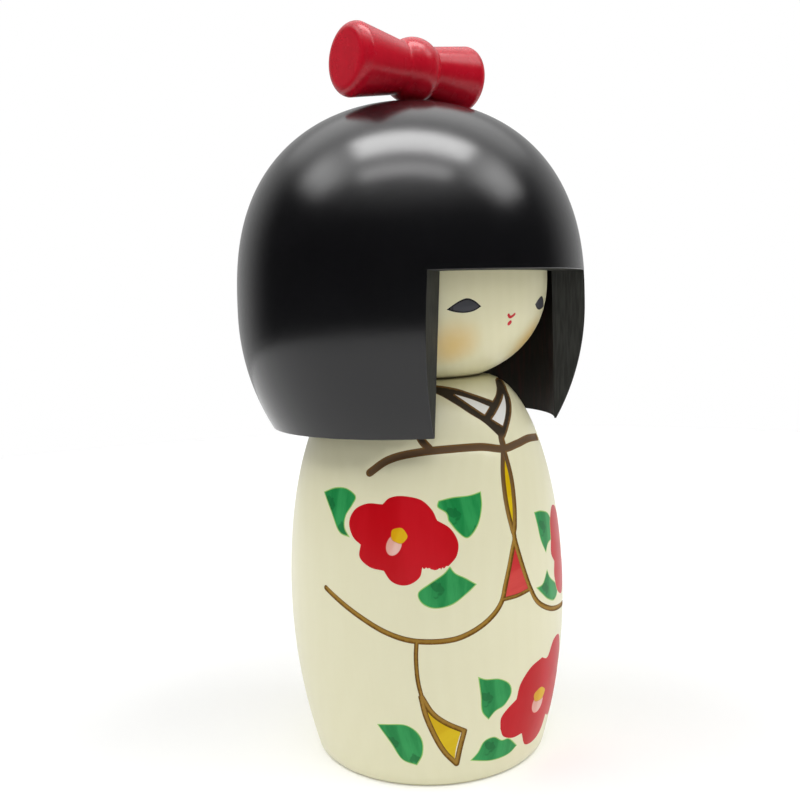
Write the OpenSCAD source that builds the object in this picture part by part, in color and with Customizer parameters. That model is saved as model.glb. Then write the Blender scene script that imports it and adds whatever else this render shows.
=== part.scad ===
// Turned wooden kokeshi doll with a bobbed hair cap.
// Millimetres, +Z up. The origin is the centre of the base, and the doll faces -Y.
// Body and neck dowel stand still. Head, hair cap, bow and peg turn together
// about the vertical axis of the neck dowel.

/* [Body] */
// Height of the body, base to neck seat
body_h = 79.4; // [64:0.1:98]
// Widest diameter of the body
body_d = 58.8; // [50:0.1:72]
// Height at which the body is widest
body_widest_h = 33.8; // [20:0.1:50]
// Diameter of the face that the doll stands on
base_d = 49.0; // [36:0.1:49.5]
// Chamfer around the base
base_chamfer = 0.6; // [0.2:0.1:1.5]
// Diameter of the flat neck seat on top of the body
neck_seat_d = 27.0; // [20:0.1:36]

/* [Neck dowel] */
// Diameter of the neck dowel
dowel_d = 10.0; // [6:0.1:14]
// Depth of the dowel in the body
dowel_in_body = 20.0; // [10:0.5:30]
// Length of the dowel inside the head
dowel_in_head = 16.0; // [8:0.5:22]
// Radial running clearance of the head on the dowel
dowel_clear = 0.05; // [0.02:0.01:0.1]
// Vertical running gap between neck seat and head
neck_gap = 0.15; // [0.1:0.05:0.5]

/* [Head] */
// Widest diameter of the head
head_d = 54.4; // [45:0.1:66]
// Height of the head, chin to top, without its spigot
head_h = 49.6; // [46:0.1:60]
// Height of the widest ring above the underside of the head
head_widest_h = 20.4; // [14:0.1:24]
// How far the chin curve would run below the underside if it were not cut flat
chin_cut = 1.6; // [0.5:0.1:4]
// Squareness of the head's outline: 2 is an ellipse, more is squarer
head_square = 2.3; // [2:0.05:3]
// Diameter of the spigot on top of the head
spigot_d = 13.0; // [8:0.1:18]
// Depth that the spigot enters the crown of the hair cap
spigot_in_cap = 1.5; // [0.5:0.1:3]
// Radial clearance around the spigot
spigot_clear = 0.05; // [0.02:0.01:0.2]

/* [Hair cap] */
// Thickness of the side wall
cap_wall = 6.7; // [4:0.1:10]
// Thickness of the crown
crown_wall = 6.35; // [5:0.05:12]
// Gap between the top of the head and the hollow
crown_gap = 0.9; // [0.5:0.1:3]
// Gap between the face and the bore, at the front
face_gap = 0.5; // [0.3:0.1:3]
// How far the hair cap sits back from the neck axis
cap_setback = 2.3; // [0:0.1:4]
// How far the rim hangs below the top of the body
rim_drop = 9.6; // [4:0.1:14]
// Width of the narrow edge left at the rim
rim_edge = 0.4; // [0.2:0.1:2]
// Height of the widest ring above the rim
cap_widest_h = 23.9; // [18:0.1:32]
// Squareness of the dome sideways: 2 is an ellipse, more is squarer
dome_square_r = 2.1; // [2:0.05:3]
// Squareness of the dome upward
dome_square_z = 2.6; // [2:0.05:3]
// Height of the straight bore above the widest ring of the head
bore_above_head = 4.0; // [2:0.5:6]
// Height of the fringe line above the rim
fringe_h = 30.8; // [24:0.1:36]
// Width of the face opening at the bore and the rim
window_w = 35.8; // [26:0.1:42]
// Lean of each cut face towards the middle, going up
window_lean = 6.4; // [0:0.1:8]
// Angle of the cut faces, measured back from straight across
window_splay = 27.3; // [10:0.1:45]
// Turn of the face opening about the cap's axis, seen from above
window_turn = 0.6; // [-6:0.1:6]

/* [Bow] */
// Length of the bow, end to end
bow_len = 32.0; // [24:0.1:38]
// Distance of the knot from the middle of the bow
knot_offset = 0.6; // [0:0.1:2]
// Diameter of the knot
knot_d = 13.2; // [11:0.1:16]
// How much wider the flared ends are than the knot
bow_flare = 0.6; // [0:0.1:2]
// How much wider still the end over the right hand is
bow_extra = 0.8; // [0:0.1:1.5]
// How much narrower the bow is beside the knot
knot_step = 2.6; // [1:0.1:4]
// Width of the knot
knot_w = 7.2; // [5:0.1:10]
// Radius of the rounded rim of each end
bow_round_r = 2.2; // [0.4:0.1:2.5]
// Turn of the bow on its peg, seen from above
bow_turn = -6; // [-30:1:30]
// Tilt of the bow, its right end up
bow_tilt = 2; // [-5:0.5:5]
// Depth of the flat under the knot, where it sits on the crown
knot_flat = 0.1; // [0.05:0.05:0.8]

/* [Peg] */
// Diameter of the peg that holds the bow
peg_d = 4.0; // [3:0.1:5]
// Radial clearance around the peg
peg_clear = 0.05; // [0.02:0.01:0.15]
// Depth of the peg in the head, below the top of its spigot
peg_in_head = 10.0; // [5:0.5:16]
// Depth of the peg in the bow, above the crown
peg_in_bow = 6.0; // [4:0.5:9]

/* [Hidden] */
$fn = 180;
// Number of steps in a quarter of a turned outline
OUTLINE_STEPS = 30;
// Overshoot of a cutting shape, so that no skin is left
CUT = 1;

// Body
body_r = body_d / 2;
base_r = base_d / 2;
neck_seat_r = neck_seat_d / 2;
dowel_r = dowel_d / 2;
dowel_bottom_z = body_h - dowel_in_body;
dowel_top_z = body_h + neck_gap + dowel_in_head;

// Head
head_r = head_d / 2;
head_bottom_z = body_h + neck_gap;
head_widest_z = head_bottom_z + head_widest_h;
head_top_z = head_bottom_z + head_h;
spigot_top_z = head_top_z + crown_gap + spigot_in_cap;
head_bore_top_z = dowel_top_z + neck_gap;

// Hair cap
bore_r = head_r + cap_setback + face_gap;
cap_r = bore_r + cap_wall;
rim_z = body_h - rim_drop;
cap_widest_z = rim_z + cap_widest_h;
bore_top_z = head_widest_z + bore_above_head;
ceiling_z = head_top_z + crown_gap;
crown_z = ceiling_z + crown_wall;
fringe_z = rim_z + fringe_h;

// Bow and peg
bow_end_d = knot_d + bow_flare;
bow_neck_d = knot_d - knot_step;
bow_z = crown_z + knot_d / 2 - knot_flat;
peg_r = peg_d / 2;
peg_bottom_z = spigot_top_z - peg_in_head;
peg_top_z = crown_z + peg_in_bow;

// Radius of the arc that is upright at the widest ring and passes a point
// that lies "inset" further in and "rise" away.
function arc_radius(inset, rise) = (inset * inset + rise * rise) / (2 * inset);

// Quarter of a turned outline around (x0, z0), from the side to the pole.
// A negative z_half runs downward.
function quarter(x0, z0, x_half, z_half, square_r, square_z) = [
    for (i = [0 : OUTLINE_STEPS])
        let (t = 90 * i / OUTLINE_STEPS)
        [x0 + x_half * pow(cos(t), 2 / square_r), z0 + z_half * pow(sin(t), 2 / square_z)]
];

// Turned blank between two heights, bounded by one arc that is upright
// at (r_widest, z_widest).
module arc_band(r_widest, z_widest, r_arc, z_low, z_high) {
    intersection() {
        translate([r_widest - r_arc, z_widest]) circle(r = r_arc, $fn = 720);
        translate([0, z_low]) square([r_widest + CUT, z_high - z_low]);
    }
}

// Closed half outline from a quarter curve, filled in towards the axis.
module under_curve(points, z_floor) {
    last = points[len(points) - 1];
    base = points[0][1] > z_floor ? [[0, z_floor], [points[0][0], z_floor]] : [[0, z_floor]];
    polygon(concat(base, points, last[0] > 0 ? [[0, last[1]]] : []));
}

// Straight round hole or pin on the neck axis.
module on_axis(r, z_low, z_high) {
    translate([0, 0, z_low]) cylinder(r = r, h = z_high - z_low);
}

// Solid wooden body: barrel-shaped, narrower at the base, domed shoulders.
module body() {
    color("ivory") difference() {
        rotate_extrude() difference() {
            union() {
                arc_band(body_r, body_widest_h, arc_radius(body_r - base_r, body_widest_h), 0, body_widest_h);
                under_curve(quarter(neck_seat_r, body_widest_h, body_r - neck_seat_r,
                                    body_h - body_widest_h, 2, 2), body_widest_h);
            }
            translate([base_r - base_chamfer, 0]) rotate(-45)
                translate([0, -3 * base_chamfer]) square([3 * base_chamfer, 6 * base_chamfer]);
        }
        on_axis(dowel_r, dowel_bottom_z, body_h + CUT);
    }
}

// Dowel glued into the body. The head turns on its upper end.
module neck_dowel() {
    color("burlywood") on_axis(dowel_r, dowel_bottom_z, dowel_top_z);
}

// Turned head. Its face fills the opening of the hair cap.
module head() {
    chin = quarter(0, head_widest_z, head_r, -(head_widest_h + chin_cut), head_square, head_square);
    dome = quarter(0, head_widest_z, head_r, head_h - head_widest_h, head_square, head_square);
    color("ivory") difference() {
        union() {
            rotate_extrude() intersection() {
                union() {
                    polygon(concat([[0, head_widest_z]], chin));
                    polygon(concat([[0, head_widest_z]], dome));
                }
                translate([0, head_bottom_z]) square([head_r + CUT, head_h]);
            }
            on_axis(spigot_d / 2, head_top_z - spigot_d / 2, spigot_top_z);
        }
        on_axis(dowel_r + dowel_clear, head_bottom_z - CUT, head_bore_top_z);
        on_axis(peg_r + peg_clear, peg_bottom_z, spigot_top_z + CUT);
    }
}

// Everything in front of the right-hand saw cut through the wall.
module front_of_cut() {
    inner_x = window_w / 2;
    inner_y = -sqrt(bore_r * bore_r - inner_x * inner_x);
    reach = 3 * cap_r;
    translate([inner_x, inner_y, rim_z]) rotate([0, -window_lean, 0]) rotate([0, 0, -window_splay])
        translate([-reach, -reach, -reach]) cube([2 * reach, reach, 2 * reach]);
}

// Shape that opens the face window: in front of both saw cuts and under the fringe.
module window_cut() {
    rotate([0, 0, window_turn]) intersection() {
        front_of_cut();
        mirror([1, 0, 0]) front_of_cut();
        translate([-cap_r, -2 * cap_r, rim_z - CUT]) cube([2 * cap_r, 2 * cap_r, fringe_z - rim_z + CUT]);
    }
}

// Hollow turned cap of hair, cut open in front for the face.
module hair_cap() {
    color("black") difference() {
        translate([0, cap_setback, 0]) difference() {
            rotate_extrude() union() {
                arc_band(cap_r, cap_widest_z, arc_radius(cap_wall - rim_edge, cap_widest_h),
                         rim_z, cap_widest_z);
                under_curve(quarter(0, cap_widest_z, cap_r, crown_z - cap_widest_z,
                                    dome_square_r, dome_square_z), cap_widest_z);
            }
            on_axis(bore_r, rim_z - CUT, bore_top_z);
            rotate_extrude() under_curve(quarter(0, bore_top_z, bore_r, ceiling_z - bore_top_z,
                                                 dome_square_r, dome_square_z), bore_top_z - CUT);
            window_cut();
        }
        on_axis(spigot_d / 2 + spigot_clear, ceiling_z - spigot_d / 2, spigot_top_z);
        on_axis(peg_r + peg_clear, ceiling_z, crown_z + CUT);
    }
}

// Half outline of the bow along its own axis, from the middle of the knot to one end.
module bow_half(half_len, end_r) {
    neck_r = bow_neck_d / 2;
    round_x = end_r - bow_round_r;
    round_z = half_len - bow_round_r;
    union() {
        arc_band(knot_d / 2, 0, arc_radius((knot_d - bow_neck_d) / 2, knot_w / 2), 0, knot_w / 2);
        polygon([[0, 0], [neck_r, 0], [neck_r, knot_w / 2], [end_r, round_z], [0, round_z]]);
        square([round_x, half_len]);
        translate([round_x, round_z]) circle(r = bow_round_r);
    }
}

// Bow: one turned spindle with two flared ends and a knot, lying across the crown.
module bow() {
    color("crimson") difference() {
        translate([0, 0, bow_z]) rotate([0, 0, bow_turn]) rotate([0, 90 + bow_tilt, 0]) rotate_extrude() {
            bow_half(bow_len / 2 - knot_offset, bow_end_d / 2);
            mirror([0, 1]) bow_half(bow_len / 2 + knot_offset, (bow_end_d + bow_extra) / 2);
        }
        on_axis(knot_w / 2, crown_z - knot_d / 2, crown_z);
        on_axis(peg_r + peg_clear, crown_z - CUT, peg_top_z);
    }
}

// Peg from the head through the crown into the knot of the bow.
module bow_peg() {
    color("burlywood") on_axis(peg_r, peg_bottom_z, peg_top_z);
}

body();
neck_dowel();
head();
hair_cap();
bow();
bow_peg();
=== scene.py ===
import math

import bmesh
import bpy
import numpy as np
from mathutils import Matrix, Vector
from mathutils.geometry import delaunay_2d_cdt
from mathutils.kdtree import KDTree


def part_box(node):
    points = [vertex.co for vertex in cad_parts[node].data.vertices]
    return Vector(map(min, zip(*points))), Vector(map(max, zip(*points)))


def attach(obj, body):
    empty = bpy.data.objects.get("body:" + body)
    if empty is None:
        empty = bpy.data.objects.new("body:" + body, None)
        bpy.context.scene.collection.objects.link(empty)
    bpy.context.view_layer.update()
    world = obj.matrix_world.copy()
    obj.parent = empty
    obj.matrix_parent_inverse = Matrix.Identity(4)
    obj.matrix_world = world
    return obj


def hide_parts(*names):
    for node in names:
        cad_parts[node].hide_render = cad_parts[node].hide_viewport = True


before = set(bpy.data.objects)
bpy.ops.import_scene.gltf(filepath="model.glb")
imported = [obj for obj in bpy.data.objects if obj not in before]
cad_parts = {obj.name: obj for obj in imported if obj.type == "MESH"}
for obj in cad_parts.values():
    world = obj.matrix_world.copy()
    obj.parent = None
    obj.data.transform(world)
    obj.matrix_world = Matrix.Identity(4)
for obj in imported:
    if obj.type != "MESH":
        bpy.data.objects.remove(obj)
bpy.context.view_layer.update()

# ------------------------------------------------------------------ Body
# Barrel turned from one block of pale wood and coated with ivory lacquer.
# The kimono's seams are gouged into it and stained brown, then camellias
# and leaves are painted on by hand. The neck dowel is glued into its top.

MM = 0.001
SHEET_WIDTH = 54.0 * math.pi
BODY_WIDEST_Z = 33.8
NECK_SEAT_R = 13.5
BASE_R = 24.5
BASE_CHAMFER_R = 23.9
BASE_CHAMFER_Z = 0.845
SOCKET_BOTTOM_Z = 59.4
DOWEL_FIT = 0.02

body_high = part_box("body")[1]
BODY_R = body_high[0] / MM
BODY_TOP = body_high[2] / MM
DOWEL_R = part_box("neck_dowel")[1][0] / MM


class Turning:
    """Outline of a turned piece, and its skin laid out flat in millimetres:
    across is the angle from the front, up is the length along the outline."""

    def __init__(self, outline):
        self.r, self.z = np.array(outline, float).T
        step = np.hypot(np.diff(self.r), np.diff(self.z))
        self.up = np.concatenate([[0.0], np.cumsum(step)])

    def flat(self, spots):
        """Sheet places of spots given as (degrees from the front, height)."""
        spots = np.asarray(spots, float)
        across = spots[:, 0] / 360 * SHEET_WIDTH
        return np.stack([across, np.interp(spots[:, 1], self.z, self.up)], 1)

    def spread(self, up):
        """True width of one unit across the sheet at this place up it."""
        return np.interp(up, self.up, self.r) * 2 * math.pi / SHEET_WIDTH

    def solid(self, sheet, sink):
        """Places in space of sheet points, sunk below the skin."""
        across, up = sheet.T
        near = 0.2
        r = np.interp(up, self.up, self.r)
        z = np.interp(up, self.up, self.z)
        dr = np.interp(up + near, self.up, self.r) - np.interp(up - near, self.up, self.r)
        dz = np.interp(up + near, self.up, self.z) - np.interp(up - near, self.up, self.z)
        length = np.hypot(dr, dz)
        r, z = r - sink * dz / length, z + sink * dr / length
        angle = across * 2 * math.pi / SHEET_WIDTH
        return np.stack([r * np.sin(angle), -r * np.cos(angle), z], 1)


LINE_STEP = 0.45
BRISTLE_STEP = 0.22
BRISTLE_REACH = (-0.32, 0.1)
BRISTLE_SEED = 7
OVAL_STEPS = 40
PETAL_DENTS = 5


def flow(turning, spots, step=LINE_STEP):
    """One smooth brush or gouge line through the spots."""
    p = turning.flat(spots)
    p = np.vstack([2 * p[0] - p[1], p, 2 * p[-1] - p[-2]])
    out = []
    for a, b, c, d in zip(p, p[1:], p[2:], p[3:]):
        count = max(2, math.ceil(np.linalg.norm(c - b) / step))
        t = np.linspace(0, 1, count, endpoint=False)[:, None]
        out.append(0.5 * (2 * b + (c - a) * t + (2 * a - 5 * b + 4 * c - d) * t**2
                          + (3 * b - a - 3 * c + d) * t**3))
    return np.vstack(out + [p[-2]])


def patch(turning, *runs, ragged=()):
    """Closed edge of a painted patch. Its smooth runs meet in corners, and a
    ragged run ends in dry bristle marks."""
    rng = np.random.default_rng(BRISTLE_SEED)
    out = []
    for k, run in enumerate(runs):
        line = flow(turning, run)[:-1]
        if k in ragged:
            line = flow(turning, run, BRISTLE_STEP)[:-1]
            line[1:, 1] += rng.uniform(*BRISTLE_REACH, len(line) - 1)
        out.append(line)
    return np.vstack(out)


def oval(turning, centre, half_long, half_wide, lean, dent=0.0):
    """Closed oval. Its long half-axis leans from upright; dents scallop it."""
    u, v = turning.flat([centre])[0]
    t = np.linspace(0, 2 * math.pi, OVAL_STEPS, endpoint=False)
    scallop = 1 + dent * np.cos(PETAL_DENTS * t)
    long = half_long * np.cos(t) * scallop
    wide = half_wide * np.sin(t) * scallop
    a = math.radians(lean)
    across = long * math.sin(a) + wide * math.cos(a)
    up = long * math.cos(a) - wide * math.sin(a)
    return np.stack([u + across / turning.spread(v), v + up], 1)


def gouge(turning, spots, width):
    """Round-ended groove: its centre line, closed edge and inner points."""
    line = flow(turning, spots)
    k = turning.spread(line[:, 1])
    along = np.gradient(line, axis=0) * np.stack([k, np.ones_like(k)], 1)
    along /= np.linalg.norm(along, axis=1)[:, None]

    def beside(i, angle, reach):
        turned = (along[i, 0] * np.cos(angle) - along[i, 1] * np.sin(angle),
                  along[i, 0] * np.sin(angle) + along[i, 1] * np.cos(angle))
        return np.stack([line[i, 0] + reach * turned[0] / k[i], line[i, 1] + reach * turned[1]], -1)

    every = np.arange(len(line))
    left = beside(every, math.pi / 2, width / 2)
    right = beside(every, -math.pi / 2, width / 2)[::-1]
    round_end = np.radians(np.arange(60, -61, -30))
    last = beside(np.full(len(round_end), len(line) - 1), round_end, width / 2)
    first = beside(np.zeros(len(round_end), int), round_end + math.pi, width / 2)
    inner = np.vstack([line, beside(every, math.pi / 2, width / 4),
                       beside(every, -math.pi / 2, width / 4)])
    return line, np.vstack([left, last, right, first]), inner


def within(points, edge):
    """True for each point inside the closed edge."""
    inside = np.zeros(len(points), bool)
    near = np.where(((points >= edge.min(0)) & (points <= edge.max(0))).all(1))[0]
    x, y = points[near].T
    hit = np.zeros(len(near), bool)
    for (x1, y1), (x2, y2) in zip(edge, np.roll(edge, -1, 0)):
        if y1 != y2:
            hit ^= ((y1 > y) != (y2 > y)) & (x < (x2 - x1) * (y - y1) / (y2 - y1) + x1)
    inside[near] = hit
    return inside


FAR = 3.0


def distance(turning, points, line, closed):
    """True distance from each point to a line on the sheet, up to FAR."""
    out = np.full(len(points), FAR)
    box = (points > line.min(0) - FAR) & (points < line.max(0) + FAR)
    near = np.where(box.all(1))[0]
    k = turning.spread(points[near, 1])[:, None]
    scale = np.concatenate([k, np.ones_like(k)], 1)
    ends = np.roll(line, -1, 0) if closed else line[1:]
    best = np.full(len(near), FAR)
    for a, b in zip(line, ends):
        pa = (points[near] - a) * scale
        ba = (b - a) * scale
        t = ((pa * ba).sum(1) / np.maximum((ba * ba).sum(1), 1e-9)).clip(0, 1)
        best = np.minimum(best, np.linalg.norm(pa - t[:, None] * ba, axis=1))
    out[near] = best
    return out


PAINT_CELL = 0.6
PAINT_ROWS = (-0.32, -0.13, 0.13, 0.32)
PAINT_CLEAR = 0.1


def grid_over(edge, cell):
    """Square grid of points over the box of a closed edge."""
    low, high = edge.min(0), edge.max(0)
    grid = np.meshgrid(np.arange(low[0], high[0], cell), np.arange(low[1], high[1], cell))
    return np.stack(grid, -1).reshape(-1, 2)


def inner_points(turning, edge):
    """Points inside a closed edge: a grid, and two rows just within the edge."""
    rows = [grid_over(edge, PAINT_CELL)]
    k = turning.spread(edge[:, 1])
    along = (np.roll(edge, -1, 0) - np.roll(edge, 1, 0)) * np.stack([k, np.ones_like(k)], 1)
    along /= np.linalg.norm(along, axis=1)[:, None]
    for reach in PAINT_ROWS:
        rows.append(edge + reach * np.stack([-along[:, 1] / k, along[:, 0]], 1))
    points = np.vstack(rows)
    return points[within(points, edge) & (distance(turning, points, edge, True) > PAINT_CLEAR)]


SHEET_COLUMNS = 180
SHEET_CELL = 1.7
SHEET_CLEAR = SHEET_CELL * 0.6
SHEET_ROW = SHEET_CELL * 0.87
SMALLEST_AREA = 1e-7


def flat_sheet(chains, loose, height):
    """Triangles over the sheet. Painted edges and grooves run along them."""
    half = SHEET_WIDTH / 2
    across = np.linspace(-half, half, SHEET_COLUMNS + 1)
    rows = np.linspace(0, height, round(height / SHEET_CELL) + 1)
    points, edges = [], []

    def add(chain, closed):
        first = len(points)
        points.extend(map(tuple, chain))
        edges.extend((first + i, first + i + 1) for i in range(len(chain) - 1))
        if closed:
            edges.append((len(points) - 1, first))

    border = [(u, 0) for u in across] + [(half, v) for v in rows[1:]]
    border += [(u, height) for u in across[-2::-1]] + [(-half, v) for v in rows[-2:0:-1]]
    add(np.array(border), True)
    for chain in chains:
        add(chain, True)
    marks = np.vstack(chains + [loose])
    tree = KDTree(len(marks))
    for i, (u, v) in enumerate(marks):
        tree.insert((u, v, 0), i)
    tree.balance()
    points.extend(map(tuple, loose))
    for j, v in enumerate(np.arange(SHEET_CELL, height - SHEET_CLEAR, SHEET_ROW)):
        first_u = -half + SHEET_CELL * (0.6 + 0.5 * (j % 2))
        for u in np.arange(first_u, half - SHEET_CLEAR, SHEET_CELL):
            if tree.find((u, v, 0))[2] > SHEET_CLEAR:
                points.append((u, v))
    made = delaunay_2d_cdt([Vector(p) for p in points], edges, [], 0, 1e-5, False)
    at = np.array([tuple(p) for p in made[0]])
    faces = np.array([f for f in made[2] if len(f) == 3])
    a, b, c = at[faces[:, 0]], at[faces[:, 1]], at[faces[:, 2]]
    area = (b[:, 0] - a[:, 0]) * (c[:, 1] - a[:, 1]) - (b[:, 1] - a[:, 1]) * (c[:, 0] - a[:, 0])
    faces[area < 0] = faces[area < 0][:, ::-1]
    return at, faces[abs(area) > SMALLEST_AREA]


def inside_grooves(turning, points, gouges, hollows):
    """How far each point lies inside a groove or hollow, and -1 outside them."""
    into = np.full(len(points), -1.0)
    for line, _, _, width in gouges:
        into = np.maximum(into, width / 2 - distance(turning, points, line, False))
    for edge, left in hollows:
        reach = np.where(within(points, edge), distance(turning, points, edge, True), -1.0)
        for island in left:
            away = distance(turning, points, island, True)
            reach = np.where(within(points, island), -1.0, np.minimum(reach, away))
        into = np.maximum(into, reach)
    return into


def finished(mesh, sharp_degrees):
    """Drops loose points, fills slits, turns faces outwards and marks sharp edges."""
    work = bmesh.new()
    work.from_mesh(mesh)
    loose = [v for v in work.verts if not v.link_faces]
    bmesh.ops.delete(work, geom=loose, context="VERTS")
    bmesh.ops.holes_fill(work, edges=[e for e in work.edges if e.is_boundary], sides=0)
    bmesh.ops.recalc_face_normals(work, faces=work.faces)
    work.to_mesh(mesh)
    work.free()
    mesh.set_sharp_from_angle(angle=math.radians(sharp_degrees))


def placed(name, data):
    """New object in the scene, at the origin."""
    thing = bpy.data.objects.new(name, data)
    bpy.context.scene.collection.objects.link(thing)
    return thing


GOUGE_DEPTH = 0.3
GOUGE_WALL = 0.5
HOLLOW_CELL = 0.45
HOLLOW_CLEAR = 0.3
STAIN = 1
SAME_ROW = 1e-5
SAME_SIDE = 1e-4
BRUSH_UNITS = 10


def turned_piece(name, turning, fills, gouges, below, above, materials, hollows=()):
    """Turned piece with painted patches and gouged lines on its skin.

    fills are (slot, edge, (degrees, height) where its brush starts, angle of
    its strokes). gouges are (centre line, closed edge, inner points, width).
    hollows are (closed edge, closed edges left standing in it). below and
    above are the further rings of its ends, as (radius, height, slot)."""
    half = SHEET_WIDTH / 2
    height = turning.up[-1]
    chains = [f[1] for f in fills] + [g[1] for g in gouges]
    loose = [g[2] for g in gouges] + [inner_points(turning, f[1]) for f in fills]
    for edge, left in hollows:
        chains += [edge] + list(left)
        grid = grid_over(edge, HOLLOW_CELL)
        keep = within(grid, edge) & (distance(turning, grid, edge, True) > HOLLOW_CLEAR)
        for island in left:
            away = distance(turning, grid, island, True)
            keep &= ~within(grid, island) & (away > HOLLOW_CLEAR)
        loose.append(grid[keep])
    at, faces = flat_sheet(chains, np.vstack(loose), height)

    # Share of a groove's full depth, and distance from a painted patch's edge.
    share = (inside_grooves(turning, at, gouges, hollows) / GOUGE_WALL).clip(0, 1)
    sink = GOUGE_DEPTH * (1 - (1 - share) ** 2)
    rim = np.full(len(at), FAR)
    for _, edge, _, _ in fills:
        away = distance(turning, at, edge, True)
        rim = np.where(within(at, edge), away, np.minimum(rim, away))

    # Each patch has its own material, and places along and across its strokes.
    middle = at[faces].mean(1)
    slots = np.zeros(len(faces), int)
    brush = at[faces].copy()
    for slot, edge, start, angle in fills:
        own = within(middle, edge)
        slots[own] = slot
        u, v = turning.flat([start])[0]
        k = turning.spread(v)
        turn = math.radians(angle)
        x, y = (at[faces[own]] - (u, v)).transpose(2, 0, 1)
        x = x * k
        brush[own] = np.stack([x * math.sin(turn) + y * math.cos(turn),
                               x * math.cos(turn) - y * math.sin(turn)], -1)
    slots[inside_grooves(turning, middle, gouges, hollows) > 0] = STAIN

    # The sheet's two side edges are one line on the piece.
    space = list(turning.solid(at, sink))
    right_side = np.where(at[:, 0] > half - SAME_SIDE)[0]
    left_side = np.where(at[:, 0] < SAME_SIDE - half)[0]
    own = np.arange(len(at))
    for i in right_side:
        own[i] = left_side[np.argmin(abs(at[left_side, 1] - at[i, 1]))]
    faces = own[faces]
    polygons = [tuple(f) for f in faces]
    marks = list(slots)
    for rings, row, downward in ((below, 0.0, True), (above, height, False)):
        last = [i for i in np.where(abs(at[:, 1] - row) < SAME_ROW)[0] if own[i] == i]
        last.sort(key=lambda i: at[i, 0])
        for r, z, slot in rings:
            if r > 0:
                ring = list(range(len(space), len(space) + len(last)))
                for i in last:
                    direction = np.array(space[i][:2]) / np.linalg.norm(space[i][:2])
                    space.append((*(direction * r), z))
            else:
                ring = [len(space)] * len(last)
                space.append((0, 0, z))
            for i in range(len(last)):
                j = (i + 1) % len(last)
                loop = [ring[i], ring[j], last[j], last[i]]
                loop = loop if downward else [last[i], last[j], ring[j], ring[i]]
                polygons.append(tuple(dict.fromkeys(loop)))
                marks.append(slot)
            last = ring
    mesh = bpy.data.meshes.new(name)
    mesh.from_pydata([tuple(c * MM for c in p) for p in space], [], polygons)
    for material in materials:
        mesh.materials.append(material)
    mesh.polygons.foreach_set("material_index", marks)
    mesh.polygons.foreach_set("use_smooth", [True] * len(polygons))
    for key, values, rest in (("rim", rim, FAR), ("groove", share, 0.0)):
        layer = mesh.attributes.new(key, "FLOAT", "POINT")
        layer.data.foreach_set("value", list(values) + [rest] * (len(space) - len(at)))
    map_ = mesh.uv_layers.new(name="brush")
    corners = np.zeros((len(mesh.loops), 2), np.float32)
    corners[:faces.size] = brush.reshape(-1, 2) * MM * BRUSH_UNITS
    map_.data.foreach_set("uv", corners.ravel())
    finished(mesh, sharp_degrees=38)
    return placed(name, mesh)


def wire(tree, kind, inputs=None, **settings):
    """Adds a node. Each input is another node's socket or a value."""
    node = tree.nodes.new(kind)
    for key, value in settings.items():
        setattr(node, key, value)
    for key, value in (inputs or {}).items():
        if isinstance(value, bpy.types.NodeSocket):
            tree.links.new(value, node.inputs[key])
        else:
            node.inputs[key].default_value = value
    return node


def new_group(name, inputs, outputs):
    """Shader node group with number sockets of these names and first values."""
    tree = bpy.data.node_groups.new(name, "ShaderNodeTree")
    for way, sockets in (("INPUT", inputs), ("OUTPUT", outputs)):
        for key, value in sockets.items():
            socket = tree.interface.new_socket(key, in_out=way, socket_type="NodeSocketFloat")
            socket.default_value = value
    return tree, tree.nodes.new("NodeGroupInput").outputs, tree.nodes.new("NodeGroupOutput").inputs


def number(tree, operation, *values):
    """One Math node, as its output socket."""
    return wire(tree, "ShaderNodeMath", dict(enumerate(values)), operation=operation).outputs[0]


def blend(tree, share, a, b):
    """Colour a where share is 0 and b where it is 1."""
    return wire(tree, "ShaderNodeMix", {0: share, 6: a, 7: b}, data_type="RGBA").outputs[2]


def ramp(tree, value, low, high, start=0.0, end=1.0):
    """Value from low to high, smoothly turned into start to end."""
    node = wire(tree, "ShaderNodeMapRange",
                {"Value": value, "From Min": low, "From Max": high, "To Min": start, "To Max": end},
                interpolation_type="SMOOTHSTEP")
    return node.outputs["Result"]


def rgb(red, green, blue):
    return (red, green, blue, 1.0)


def on_piece(tree):
    """Place on the piece, in metres in the shared frame."""
    return wire(tree, "ShaderNodeTexCoord").outputs["Object"]


def drawn_out(tree, place, share, shift=(0, 0, 0)):
    """Place with its height shrunk, so that a pattern runs up the piece."""
    return wire(tree, "ShaderNodeMapping", {"Vector": place, "Scale": (1, 1, share),
                                            "Location": shift}).outputs[0]


def noise(tree, place, scale, detail, roughness=0.5):
    """Soft random pattern, as its node's outputs."""
    return wire(tree, "ShaderNodeTexNoise", {"Vector": place, "Scale": scale, "Detail": detail,
                                             "Roughness": roughness}).outputs


# Year rings and fine vertical fibre of turned wood, seen through lacquer.
wood_grain, put_in, put_out = new_group(
    "wood grain", {"Ring Scale": 160.0, "Fibre Scale": 900.0}, {"Rings": 0.0, "Fibre": 0.0})
upright = drawn_out(wood_grain, on_piece(wood_grain), 0.12, shift=(0.011, 0.004, 0))
bend = noise(wood_grain, upright, 30.0, 2.0)["Color"]
bent = wire(wood_grain, "ShaderNodeVectorMath", {0: bend, 1: (0.006,) * 3, 2: upright},
            operation="MULTIPLY_ADD")
ringed = wire(wood_grain, "ShaderNodeTexWave", {"Vector": bent.outputs[0], "Scale": put_in[0],
                                                "Distortion": 1.5, "Detail": 2.0},
              wave_type="RINGS", rings_direction="Z")
wood_grain.links.new(ringed.outputs["Fac"], put_out["Rings"])
wood_grain.links.new(noise(wood_grain, upright, put_in[1], 3.0, 0.6)["Fac"], put_out["Fibre"])


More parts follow.
